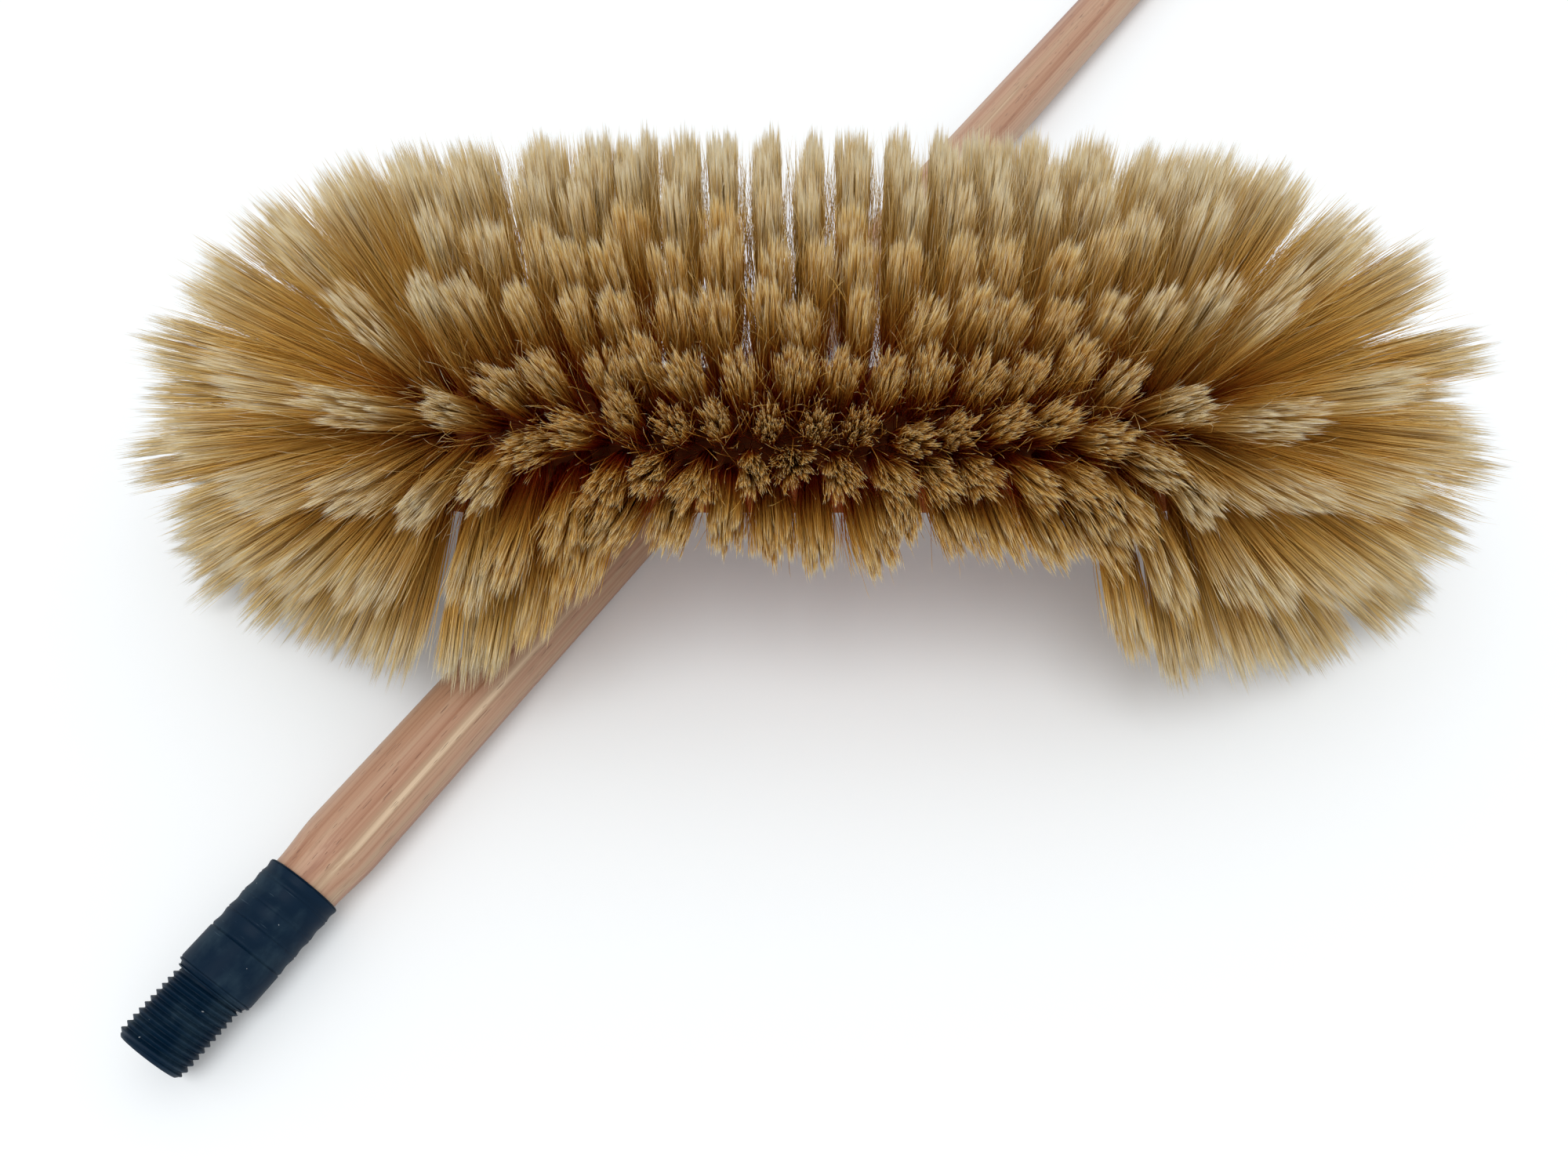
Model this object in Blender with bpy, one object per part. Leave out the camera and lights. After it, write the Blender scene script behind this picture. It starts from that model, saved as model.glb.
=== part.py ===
"""Indoor broom with natural bristles, its head laid on its back across the loose handle.

The handle lies along X on the floor, z = 0. The origin is on the floor, under the middle of the
handle's length and in line with the middle of the head. In the head's own frame x runs along the
block, y across it and z up, out of the drilled face.
"""

import math

import bmesh
import bpy
from mathutils import Matrix, Vector

# Whole broom
OVERALL_LENGTH = 1.250
FIT_GAP = 0.0003
CUT_OVERRUN = 0.001
ROUND_SIDES = 24
SMOOTH_ANGLE = math.radians(40)

# Threaded ferrule: distances from its tip, and radii
THREAD_CREST_RADIUS = 0.0106
THREAD_ROOT_RADIUS = 0.0096
THREAD_PITCH = 0.00195
THREAD_TURNS = 9
THREAD_RUNOUT = 0.0004
THREAD_RELIEF = 0.0003
TIP_LENGTH = 0.0009
TIP_CHAMFER = 0.0005
STEP_RADIUS = 0.0110
STEP_LENGTH = 0.0014
FERRULE_RADIUS = 0.0120
COLLAR_LENGTH = 0.0112
SLEEVE_LENGTH = 0.0230
SLEEVE_RINGS = 4
RING_WIDTH = 0.0008
WAIST_DEPTH = 0.0003
FERRULE_WALL = 0.0010
BORE_BEYOND_COLLAR = 0.0090
EDGE_CHAMFER = 0.0004

# Handle
HANDLE_RADIUS = 0.0120
HANDLE_TAPER_LENGTH = 0.0160
HANDLE_END_ROUND = 0.0080
TENON_CHAMFER = 0.0010
END_ROUND_STEPS = 4

# Block
BLOCK_HALF_WIDTH = 0.0270
BLOCK_STRAIGHT_LENGTH = 0.2300
BLOCK_SIDE_HEIGHT = 0.0107
BLOCK_CROWN = 0.0220
BACK_EDGE_ROUND = 0.0060
BACK_EDGE_STEPS = 3
BED_DEPTH = 0.0022

# Threaded socket in the block's back
SOCKET_LEAN = math.radians(18)
SOCKET_ASIDE = 0.0040
SEAT_RADIUS = 0.0126

# Tufts: rows on each side of the middle row, and their bristles
ROWS = 5
ROW_STEP = math.radians(12)
ROW_LEAN = math.radians(10.7)
FAN_LEAN = math.radians(6.8)
STRANDS_IN_LONG_ROW = 24
RING_CELLS = 12
RING_CELLS_PER_STRAND = (3, 2, 1, 1, 1)
TUFT_REACH = 0.1000
END_EXTRA_REACH = 0.0270
FAR_LEFT_TRIM = 0.0080
FAR_RIGHT_TRIM = 0.0230
NEAR_LEFT_TRIM = 0.0140
NEAR_RIGHT_TRIM = 0.0060
FAR_CORNER_TURN = math.radians(26)
CORNER_SPREAD_SHARE = 0.63
END_SPREAD_SHARE = 0.39
FAR_CORNER_LENGTH = 0.0500
NEAR_CORNER_LENGTH = 0.0390
LEFT_NEAR_CORNER_LENGTH = 0.0650
NEAR_CORNER_LEAD_SHARE = 0.75
STRAND_ROOT_WIDTH = 0.0020
STRAND_TIP_WIDTH = 0.0040

# Where the head lies on the handle
HEAD_FROM_TIP = 0.2643
HEAD_ASIDE = 0.0418
HEAD_TURN = math.radians(-57)

# Sizes that follow
THREAD_LENGTH = THREAD_PITCH * (THREAD_TURNS + 1)
STEP_START = TIP_LENGTH + THREAD_LENGTH + 2 * THREAD_RUNOUT
COLLAR_START = STEP_START + STEP_LENGTH
SLEEVE_START = COLLAR_START + COLLAR_LENGTH
FERRULE_LENGTH = SLEEVE_START + SLEEVE_LENGTH
BORE_RADIUS = FERRULE_RADIUS - FERRULE_WALL
BORE_END = SLEEVE_START - BORE_BEYOND_COLLAR
TENON_RADIUS = BORE_RADIUS - FIT_GAP
TENON_START = BORE_END + FIT_GAP
AXIS_HEIGHT = HANDLE_RADIUS * math.cos(math.pi / ROUND_SIDES)
TIP_X = -OVERALL_LENGTH / 2
BACK_HEIGHT = 2 * AXIS_HEIGHT + FIT_GAP
CROWN_CENTRE_HEIGHT = BACK_HEIGHT + BLOCK_SIDE_HEIGHT
BED_EDGE = (ROWS + 1 / 2) * ROW_STEP
BED_HALF_GAP = FIT_GAP / 2 / BLOCK_CROWN
SPINE_END = BLOCK_STRAIGHT_LENGTH / 2
RING_CENTRE = SPINE_END + FIT_GAP / 2
STRAND_PITCH = (BLOCK_STRAIGHT_LENGTH - FIT_GAP) / STRANDS_IN_LONG_ROW
SEAT_DEPTH = SEAT_RADIUS * math.sin(SOCKET_LEAN) + FIT_GAP


def clear_scene():
    for old in list(bpy.data.objects):
        bpy.data.objects.remove(old, do_unlink=True)


def make_material(name, colour, roughness):
    material = bpy.data.materials.new(name)
    material.use_nodes = True
    shader = material.node_tree.nodes["Principled BSDF"]
    shader.inputs["Base Color"].default_value = (*colour, 1)
    shader.inputs["Roughness"].default_value = roughness
    shader.inputs["Metallic"].default_value = 0
    return material


def add_empty(name, location, turn):
    empty = bpy.data.objects.new(name, None)
    empty.location = location
    empty.rotation_euler = (0, 0, turn)
    bpy.context.scene.collection.objects.link(empty)
    return empty


def add_piece(name, bm, material, parent):
    """Turns a bmesh into an object, shaded smooth but for its sharp edges."""
    bmesh.ops.recalc_face_normals(bm, faces=bm.faces)
    mesh = bpy.data.meshes.new(name)
    bm.to_mesh(mesh)
    bm.free()
    mesh.materials.append(material)
    mesh.shade_smooth()
    mesh.set_sharp_from_angle(angle=SMOOTH_ANGLE)
    piece = bpy.data.objects.new(name, mesh)
    piece.parent = parent
    bpy.context.scene.collection.objects.link(piece)
    return piece


# Round pieces, turned about their own X axis


def ring(bm, along, radius):
    """One circle of points, turned so that a flat facet lies on the floor."""
    turns = [2 * math.pi * (side + 1 / 2) / ROUND_SIDES for side in range(ROUND_SIDES)]
    return [bm.verts.new((along, radius * math.cos(t), radius * math.sin(t))) for t in turns]


def join_rings(bm, first, second):
    for side in range(ROUND_SIDES):
        after = (side + 1) % ROUND_SIDES
        bm.faces.new((first[side], first[after], second[after], second[side]))


def turned(bm, outline):
    """Rings through an outline of (along, radius) points. Returns the first and last ring."""
    rings = [ring(bm, along, radius) for along, radius in outline]
    for first, second in zip(rings, rings[1:]):
        join_rings(bm, first, second)
    return rings[0], rings[-1]


def close_thread_end(bm, flat, helix, start_tooth):
    """Joins a flat ring to a thread's last row, and to the cut face of its last tooth."""
    for side in range(ROUND_SIDES - 1):
        bm.faces.new((flat[side], flat[side + 1], helix[side + 1], helix[side]))
    low, crest, high = start_tooth
    outer = high if helix[0] is low else low
    bm.faces.new((flat[-1], flat[0], outer, helix[-1]))
    bm.faces.new((flat[0], low, crest, high) if outer is high else (flat[0], high, crest, low))


def thread(bm, start, root_radius, crest_radius):
    """A V thread as one helical skin between two flat rings, which it returns."""
    relief_radius = root_radius - THREAD_RELIEF
    last_row = 2 * THREAD_TURNS

    def point(row, side):
        turn = 2 * math.pi * (side + 1 / 2) / ROUND_SIDES
        radius = crest_radius if row % 2 else root_radius
        along = start + THREAD_RUNOUT + THREAD_PITCH * (row / 2 + side / ROUND_SIDES)
        return bm.verts.new((along, radius * math.cos(turn), radius * math.sin(turn)))

    rows = [[point(row, side) for side in range(ROUND_SIDES)] for row in range(last_row + 1)]
    tail = [point(last_row + 1, 0), point(last_row + 2, 0)]
    seam = [row[0] for row in rows] + tail
    for row in range(last_row):
        lower = rows[row] + [seam[row + 2]]
        upper = rows[row + 1] + [seam[row + 3]]
        for side in range(ROUND_SIDES):
            bm.faces.new((lower[side], lower[side + 1], upper[side + 1], upper[side]))
    first = ring(bm, start, relief_radius)
    last = ring(bm, start + THREAD_LENGTH + 2 * THREAD_RUNOUT, relief_radius)
    close_thread_end(bm, first, rows[0], seam[:3])
    close_thread_end(bm, last, rows[-1], seam[-3:])
    return first, last


def sleeve_outline():
    """Waisted stretches between raised rings, from the collar to the mouth."""
    outline = []
    stretch = (SLEEVE_LENGTH - RING_WIDTH) / SLEEVE_RINGS
    for number in range(SLEEVE_RINGS):
        along = SLEEVE_START + RING_WIDTH + stretch * number
        waist = FERRULE_RADIUS - WAIST_DEPTH
        outline.append((along, FERRULE_RADIUS))
        outline.append((along + RING_WIDTH, waist))
        outline.append((along + stretch - 2 * RING_WIDTH, waist))
        outline.append((along + stretch - RING_WIDTH, FERRULE_RADIUS))
    outline.append((FERRULE_LENGTH - EDGE_CHAMFER, FERRULE_RADIUS))
    outline.append((FERRULE_LENGTH, FERRULE_RADIUS - EDGE_CHAMFER))
    return outline


def make_ferrule(parent, material):
    bm = bmesh.new()
    tip, neck = turned(bm, [(0, THREAD_ROOT_RADIUS - TIP_CHAMFER), (TIP_CHAMFER, THREAD_ROOT_RADIUS)])
    bm.faces.new(tip)
    thread_start, thread_end = thread(bm, TIP_LENGTH, THREAD_ROOT_RADIUS, THREAD_CREST_RADIUS)
    join_rings(bm, neck, thread_start)
    outer = [
        (STEP_START + EDGE_CHAMFER, STEP_RADIUS),
        (COLLAR_START, STEP_RADIUS),
        (COLLAR_START, FERRULE_RADIUS - EDGE_CHAMFER),
        (COLLAR_START + EDGE_CHAMFER, FERRULE_RADIUS),
        (SLEEVE_START - RING_WIDTH, FERRULE_RADIUS),
        (SLEEVE_START, FERRULE_RADIUS - WAIST_DEPTH),
    ]
    shoulder, mouth = turned(bm, outer + sleeve_outline())
    join_rings(bm, thread_end, shoulder)
    bore_mouth, bore_bottom = turned(bm, [(FERRULE_LENGTH, BORE_RADIUS), (BORE_END, BORE_RADIUS)])
    join_rings(bm, mouth, bore_mouth)
    bm.faces.new(bore_bottom)
    return add_piece("ferrule", bm, material, parent)


def make_handle(parent, material):
    """The stick, from its tenon in the ferrule to its rounded far end."""
    outline = [
        (TENON_START, TENON_RADIUS - TENON_CHAMFER),
        (TENON_START + TENON_CHAMFER, TENON_RADIUS),
        (FERRULE_LENGTH, TENON_RADIUS),
        (FERRULE_LENGTH + HANDLE_TAPER_LENGTH, HANDLE_RADIUS),
    ]
    for step in range(END_ROUND_STEPS + 1):
        turn = math.pi / 2 * step / END_ROUND_STEPS
        along = OVERALL_LENGTH - HANDLE_END_ROUND * (1 - math.sin(turn))
        outline.append((along, HANDLE_RADIUS - HANDLE_END_ROUND * (1 - math.cos(turn))))
    bm = bmesh.new()
    for end in turned(bm, outline):
        bm.faces.new(end)
    return add_piece("handle", bm, material, parent)


# The head: its block


def face_place(row_angle, depth):
    """How far out and how high the drilled face lies, depth below its surface."""
    out = (BLOCK_HALF_WIDTH - depth) * math.sin(row_angle)
    return out, CROWN_CENTRE_HEIGHT + (BLOCK_CROWN - depth) * math.cos(row_angle)


def block_outline():
    """(out, height) points from the back, round its edge and over the rim into the tuft bed."""
    outline = []
    for step in range(BACK_EDGE_STEPS + 1):
        turn = math.pi / 2 * step / BACK_EDGE_STEPS
        out = BLOCK_HALF_WIDTH - BACK_EDGE_ROUND * (1 - math.sin(turn))
        outline.append((out, BACK_HEIGHT + BACK_EDGE_ROUND * (1 - math.cos(turn))))
    outline.append(face_place(math.pi / 2, 0))
    outline.append(face_place(BED_EDGE, 0))
    for row in range(ROWS, -1, -1):
        outline.append(face_place((row + 1 / 2) * ROW_STEP, BED_DEPTH + FIT_GAP))
    return outline


def make_block(parent, material):
    """The outline carried round the block's long oval, closed along its middle line."""
    bm = bmesh.new()
    outline = block_outline()
    stations = []
    for end in (1, -1):
        for cell in range(RING_CELLS + 1):
            turn = end * (math.pi * cell / RING_CELLS - math.pi / 2)
            x, y = end * math.cos(turn), end * math.sin(turn)
            stations.append([bm.verts.new((end * SPINE_END + x * r, y * r * end, z)) for r, z in outline])
    centres = {
        end: [bm.verts.new((end * SPINE_END, 0, z)) for z in (outline[0][1], outline[-1][1])]
        for end in (1, -1)
    }
    for number, station in enumerate(stations):
        after = stations[(number + 1) % len(stations)]
        for place in range(len(outline) - 1):
            bm.faces.new((station[place], after[place], after[place + 1], station[place + 1]))
        end = 1 if number <= RING_CELLS else -1
        across = number % (RING_CELLS + 1) == RING_CELLS
        for side, place in ((0, 0), (1, -1)):
            middle = [centres[end][side], centres[-end][side]] if across else [centres[end][side]]
            bm.faces.new((station[place], *middle, after[place]))
    return add_piece("block", bm, material, parent)


def socket_frame():
    """Local X runs into the block from the middle of the seat."""
    mouth = Vector((0, -SOCKET_ASIDE, BACK_HEIGHT + SEAT_DEPTH))
    return Matrix.Translation(mouth) @ Matrix.Rotation(math.pi / 2 - SOCKET_LEAN, 4, "X") @ (
        Matrix.Rotation(math.pi / 2, 4, "Z")
    )


def add_cutter(name, bm, parent, block):
    bmesh.ops.recalc_face_normals(bm, faces=bm.faces)
    mesh = bpy.data.meshes.new(name)
    bm.to_mesh(mesh)
    bm.free()
    cutter = bpy.data.objects.new(name, mesh)
    cutter.parent = parent
    cutter.matrix_local = socket_frame()
    cutter.hide_render = True
    cutter.display_type = "WIRE"
    bpy.context.scene.collection.objects.link(cutter)
    cut = block.modifiers.new(name, "BOOLEAN")
    cut.object = cutter
    cut.solver = "EXACT"


def cut_seat(parent, block):
    bm = bmesh.new()
    outside = -2 * SEAT_DEPTH - CUT_OVERRUN
    for end in turned(bm, [(outside, SEAT_RADIUS), (0, SEAT_RADIUS)]):
        bm.faces.new(end)
    add_cutter("seat_cutter", bm, parent, block)


def cut_socket(parent, block):
    """The thread's space: a plain mouth for the ferrule's step, then the screw, then its tip."""
    bm = bmesh.new()
    plain_length = STEP_LENGTH + FIT_GAP
    mouth_radius = STEP_RADIUS + FIT_GAP
    start = COLLAR_START - STEP_START + FIT_GAP + EDGE_CHAMFER
    root = THREAD_ROOT_RADIUS + FIT_GAP
    first, inner = turned(bm, [(-CUT_OVERRUN, mouth_radius), (plain_length, mouth_radius)])
    bm.faces.new(first)
    thread_start, thread_end = thread(bm, start, root, THREAD_CREST_RADIUS + FIT_GAP)
    join_rings(bm, inner, thread_start)
    depth = COLLAR_START + FIT_GAP
    neck, bottom = turned(bm, [(depth - TIP_CHAMFER, root), (depth, root - TIP_CHAMFER)])
    join_rings(bm, thread_end, neck)
    bm.faces.new(bottom)
    add_cutter("socket_cutter", bm, parent, block)


# The head: its tufts, each row or ring fused to a slice of the drilled face


def tip_place(lean, reach):
    """How far out and how high a tuft's tip lies."""
    return reach * math.sin(lean), CROWN_CENTRE_HEIGHT + reach * math.cos(lean)


def corner_share(x, side):
    """From 0 in the middle of a row to 1 near its end, where the tufts of the corner spread out."""
    length, lead = FAR_CORNER_LENGTH, 1
    if side < 0:
        length = LEFT_NEAR_CORNER_LENGTH if x < 0 else NEAR_CORNER_LENGTH
        lead = NEAR_CORNER_LEAD_SHARE
    share = min(max((abs(x) - SPINE_END + length) / length / lead, 0), 1)
    return share * share * (3 - 2 * share)


def ring_reach(row, turn, end):
    """Outer rings are longest off the block's ends and are trimmed shorter at its corners."""
    left, right = (FAR_LEFT_TRIM, FAR_RIGHT_TRIM) if turn > 0 else (NEAR_LEFT_TRIM, NEAR_RIGHT_TRIM)
    trim = left if end < 0 else right
    extra = END_EXTRA_REACH * math.cos(turn) ** 4 - trim * abs(math.sin(2 * turn))
    return TUFT_REACH + extra * (row / ROWS) ** 2


def square(centre, side, front, width):
    half_side, half_front = side * width / 2, front * width / 2
    return [
        centre - half_side - half_front,
        centre + half_side - half_front,
        centre + half_side + half_front,
        centre - half_side + half_front,
    ]


def add_strand(bm, corners, tip):
    """A flared four-sided strand from the middle of a cell, cut flat where it meets the floor."""
    start, after, outer_after, outer_start = [corner.co for corner in corners]
    root = (start + after + outer_after + outer_start) / 4
    side = (after + outer_after - start - outer_start).normalized()
    across = (outer_after + outer_start - after - start).normalized()
    base = [bm.verts.new(p) for p in square(root, side, across, STRAND_ROOT_WIDTH)]
    way = (tip - root).normalized()
    side = (side - way * side.dot(way)).normalized()
    front = side.cross(way)
    if front.dot(across) < 0:
        front.negate()
    end = []
    for place in square(tip, side, front, STRAND_TIP_WIDTH):
        place.z = max(place.z, 0)
        end.append(bm.verts.new(place))
    for lower, upper in ((corners, base), (base, end)):
        for number in range(4):
            after = (number + 1) % 4
            bm.faces.new((lower[number], lower[after], upper[after], upper[number]))
    bm.faces.new(end)


def add_wall(bm, top, bottom):
    """The slice's side: a quad for each cell, or a fan where only its two ends have a bottom."""
    if len(bottom) == len(top):
        for number in range(len(top) - 1):
            bm.faces.new((bottom[number], bottom[number + 1], top[number + 1], top[number]))
        return
    for number in range(len(top) - 1):
        bm.faces.new((bottom[0], top[number + 1], top[number]))
    bm.faces.new((bottom[0], bottom[1], top[-1]))


def make_tufts(name, tops, bottoms, tips, parent, material):
    """A slice of the face with its strands. tops and bottoms are (inner, outer) places."""
    bm = bmesh.new()
    inner, outer = [[bm.verts.new(pair[n]) for pair in tops] for n in (0, 1)]
    inner_low, outer_low = [[bm.verts.new(pair[n]) for pair in bottoms] for n in (0, 1)]
    add_wall(bm, inner, inner_low)
    add_wall(bm, outer, outer_low)
    for number in range(len(bottoms) - 1):
        after = number + 1
        bm.faces.new((inner_low[number], inner_low[after], outer_low[after], outer_low[number]))
    for end in (0, -1):
        bm.faces.new((inner[end], inner_low[end], outer_low[end], outer[end]))
    for number, tip in enumerate(tips):
        corners = (inner[number], inner[number + 1], outer[number + 1], outer[number])
        if tip is None:
            bm.faces.new(corners)
        else:
            add_strand(bm, corners, tip)
    return add_piece(name, bm, material, parent)


def row_stations(row, side):
    """Rows stand in line, but every second near row lies half a cell over, with bare ends."""
    first = -SPINE_END + FIT_GAP / 2
    if side > 0 or row % 2:
        return [first + STRAND_PITCH * n for n in range(STRANDS_IN_LONG_ROW + 1)]
    inner = [first + STRAND_PITCH * (n + 1 / 2) for n in range(STRANDS_IN_LONG_ROW)]
    return [first, *inner, -first]


def bed_edges(row):
    """The face angles at which a row's slice begins and ends."""
    half = ROW_STEP / 2 - BED_HALF_GAP
    return row * ROW_STEP - half, row * ROW_STEP + half


def make_row(name, row, side, parent, material):
    """A straight row of tufts. Away from the corners, every row leans to the near side."""

    def pair(x, depth):
        places = [face_place(angle, depth) for angle in bed_edges(row)]
        return [Vector((x, side * out, height)) for out, height in places]

    stations = row_stations(row, side)
    tips = []
    for x, after in zip(stations, stations[1:]):
        middle = (x + after) / 2
        corner = corner_share(middle, side)
        lean = row * ROW_LEAN * (1 + CORNER_SPREAD_SHARE * corner) - side * FAN_LEAN * (1 - corner)
        out, height = tip_place(lean, TUFT_REACH)
        turn = FAR_CORNER_TURN * corner if side > 0 else 0
        aside = math.copysign(out * math.sin(turn), middle)
        bare = after - x < STRAND_PITCH * 3 / 4
        tips.append(None if bare else Vector((middle + aside, side * out * math.cos(turn), height)))
    tops = [pair(x, 0) for x in stations]
    bottoms = [pair(x, BED_DEPTH) for x in (stations[0], stations[-1])]
    make_tufts(name, tops, bottoms, tips, parent, material)


def tip_turn(turn):
    """The tufts of the far corners turn on from the rows' ends, and so less than their holes."""
    return turn * (1 - FAR_CORNER_TURN / (math.pi / 2)) if turn > 0 else turn


def make_ring(name, row, end, parent, material):
    """Half a ring of tufts round one end of the block."""

    def place(turn, out, height):
        x = end * (RING_CENTRE + out * math.cos(turn))
        return Vector((x, out * math.sin(turn), height))

    def pair(turn, depth):
        return [place(turn, *face_place(angle, depth)) for angle in bed_edges(row)]

    turns = [math.pi * (cell / RING_CELLS - 1 / 2) for cell in range(RING_CELLS + 1)]
    every = RING_CELLS_PER_STRAND[row - 1]
    tips = []
    for cell in range(RING_CELLS):
        turn = (turns[cell] + turns[cell + 1]) / 2
        lean = row * ROW_LEAN * (1 + CORNER_SPREAD_SHARE + END_SPREAD_SHARE * math.cos(turn))
        tip = place(tip_turn(turn), *tip_place(lean, ring_reach(row, turn, end)))
        tips.append(tip if cell % every == every // 2 else None)
    tops = [pair(turn, 0) for turn in turns]
    bottoms = [pair(turn, BED_DEPTH) for turn in turns]
    make_tufts(name, tops, bottoms, tips, parent, material)


def make_all_tufts(parent, material):
    make_row("tufts_middle_row", 0, 1, parent, material)
    for row in range(1, ROWS + 1):
        make_row(f"tufts_near_row_{row}", row, -1, parent, material)
        make_row(f"tufts_far_row_{row}", row, 1, parent, material)
        make_ring(f"tufts_left_ring_{row}", row, -1, parent, material)
        make_ring(f"tufts_right_ring_{row}", row, 1, parent, material)


def make_broom():
    clear_scene()
    stick_wood = make_material("handle_wood", (0.80, 0.60, 0.47), 0.55)
    block_wood = make_material("block_wood", (0.46, 0.27, 0.18), 0.60)
    plastic = make_material("navy_plastic", (0.02, 0.03, 0.06), 0.35)
    hair = make_material("natural_hair", (0.80, 0.68, 0.48), 0.60)
    stick = add_empty("stick_frame", (TIP_X, HEAD_ASIDE, AXIS_HEIGHT), 0)
    make_handle(stick, stick_wood)
    make_ferrule(stick, plastic)
    head = add_empty("head_frame", (TIP_X + HEAD_FROM_TIP, 0, 0), HEAD_TURN)
    block = make_block(head, block_wood)
    cut_seat(head, block)
    cut_socket(head, block)
    make_all_tufts(head, hair)


make_broom()
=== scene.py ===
"""The looks of an indoor broom: hair tufts, drilled block, wooden stick and threaded ferrule.

The stick lies along X. In the head's own frame x runs along the block, y across it, away from
the camera, and z up. In the stick's own frame x runs from the ferrule's tip along the axis.
"""

import math

import bmesh
import bpy
import numpy as np
from mathutils import Matrix, Vector


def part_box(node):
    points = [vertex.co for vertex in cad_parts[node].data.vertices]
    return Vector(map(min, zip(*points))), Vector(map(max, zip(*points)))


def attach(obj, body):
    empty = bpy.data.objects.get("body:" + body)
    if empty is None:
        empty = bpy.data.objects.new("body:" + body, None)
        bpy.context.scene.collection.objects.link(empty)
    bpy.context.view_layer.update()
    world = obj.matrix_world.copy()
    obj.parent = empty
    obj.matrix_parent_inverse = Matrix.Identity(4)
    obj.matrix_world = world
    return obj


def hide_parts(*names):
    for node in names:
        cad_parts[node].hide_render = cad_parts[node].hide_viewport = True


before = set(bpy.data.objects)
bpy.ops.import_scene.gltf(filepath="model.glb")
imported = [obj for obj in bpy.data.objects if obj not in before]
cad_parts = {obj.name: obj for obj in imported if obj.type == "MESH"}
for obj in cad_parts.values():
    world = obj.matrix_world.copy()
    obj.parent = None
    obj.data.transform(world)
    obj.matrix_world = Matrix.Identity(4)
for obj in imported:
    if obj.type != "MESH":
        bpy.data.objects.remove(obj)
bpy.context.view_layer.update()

# The stick and its ferrule, from the frame
stick_low, stick_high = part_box("handle")
ferrule_low, ferrule_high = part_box("ferrule")
AXIS_HEIGHT = (stick_low.z + stick_high.z) / 2
STICK_RADIUS = AXIS_HEIGHT
STICK_FRAME = Matrix.Translation((ferrule_low.x, (stick_low.y + stick_high.y) / 2, AXIS_HEIGHT))
OVERALL_LENGTH = stick_high.x - ferrule_low.x
FERRULE_LENGTH = ferrule_high.x - ferrule_low.x
TENON_START = stick_low.x - ferrule_low.x

# The head, from the frame
HEAD_TURN = math.radians(-57)
block_low, block_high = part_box("block")
HEAD_CENTRE = (block_low + block_high) / 2
BACK_HEIGHT = block_low.z
HEAD_FRAME = Matrix.Translation((HEAD_CENTRE.x, HEAD_CENTRE.y, 0)) @ Matrix.Rotation(HEAD_TURN, 4, "Z")

# Block
BLOCK_HALF_WIDTH = 0.0270
SPINE_END = 0.1150
BLOCK_SIDE_HEIGHT = 0.0107
CROWN_CENTRE_HEIGHT = BACK_HEIGHT + BLOCK_SIDE_HEIGHT
BLOCK_CROWN = 0.0220
BACK_EDGE_ROUND = 0.0060
BACK_EDGE_STEPS = 8
FACE_STEPS = 26
BLOCK_END_STEPS = 40
BLOCK_STRAIGHT_STEPS = 24
HOLE_RADIUS = 0.0023
HOLE_DEPTH = 0.0070
HOLE_SIDES = 14
CUT_OVERRUN = 0.001
HOLE_OVERRUN = 0.004
MERGE_DISTANCE = 0.00003
BLOCK_SHARP_ANGLE = math.radians(30)

# Socket in the block's back
SOCKET_LEAN = math.radians(18)
SOCKET_ASIDE = 0.0040
SEAT_RADIUS = 0.0126
FIT_GAP = 0.0003
SEAT_DEPTH = SEAT_RADIUS * math.sin(SOCKET_LEAN) + FIT_GAP

# Ferrule
ROUND_SIDES = 96
THREAD_CREST_RADIUS = 0.0106
THREAD_ROOT_RADIUS = 0.0096
THREAD_PITCH = 0.00195
THREAD_START = 0.0006
THREAD_END = 0.0208
THREAD_STEPS_PER_TURN = 20
THREAD_FADE_TURNS = 0.25
CREST_FLAT_SHARE = 0.10
TIP_CHAMFER = 0.0005
STEP_START = 0.0212
STEP_RADIUS = 0.0110
COLLAR_START = 0.0226
COLLAR_END = 0.0338
RING_LINES = (0.0344, 0.0402, 0.0459, 0.0523)
RING_LINE_HALF_WIDTH = 0.0004
RING_LINE_DEPTH = 0.00022
WAIST_DEPTH = 0.00035
BORE_RADIUS = 0.0110
BORE_END = TENON_START - FIT_GAP
EDGE_ROUND = 0.0006
EDGE_STEPS = 5
FERRULE_SHARP_ANGLE = math.radians(38)

# Stick
TENON_RADIUS = 0.0107
TENON_CHAMFER = 0.0010
SHOULDER_DEPTH = 0.0010
TAPER_LENGTH = 0.0160
TAPER_STEPS = 8
STICK_END_ROUND = 0.0080
STICK_STATION = 0.0050
STICK_WAVE = 0.00012
STICK_WAVE_RATES = (41, 67)
STICK_WAVE_SHIFT = 2
STICK_SHARP_ANGLE = math.radians(35)

# Tufts. Trims are for the left and the right end. A corner runs from where the tufts start to
# spread to where they are fully spread, measured from the block's middle.
ROWS = 5
ROW_STEP = math.radians(12)
ROW_LEAN = math.radians(10.7)
FAN_LEAN = math.radians(6.8)
TUFTS_IN_ROW = 17
RING_TUFTS = (3, 5, 7, 10, 12)
TUFT_REACH = 0.1000
END_EXTRA_REACH = 0.0270
FAR_TRIMS = (0.0040, 0.0230)
NEAR_TRIMS = (0.0140, 0.0060)
FAR_CORNER_TURN = math.radians(26)
CORNER_SPREAD_SHARE = 0.63
END_SPREAD_SHARE = 0.39
FAR_CORNER = (0.0650, 0.1150)
NEAR_CORNER = (0.0760, 0.1052)
LEFT_NEAR_CORNER = (0.0500, 0.0988)
INNER_LEFT_CORNER_START = 0.0700
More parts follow.
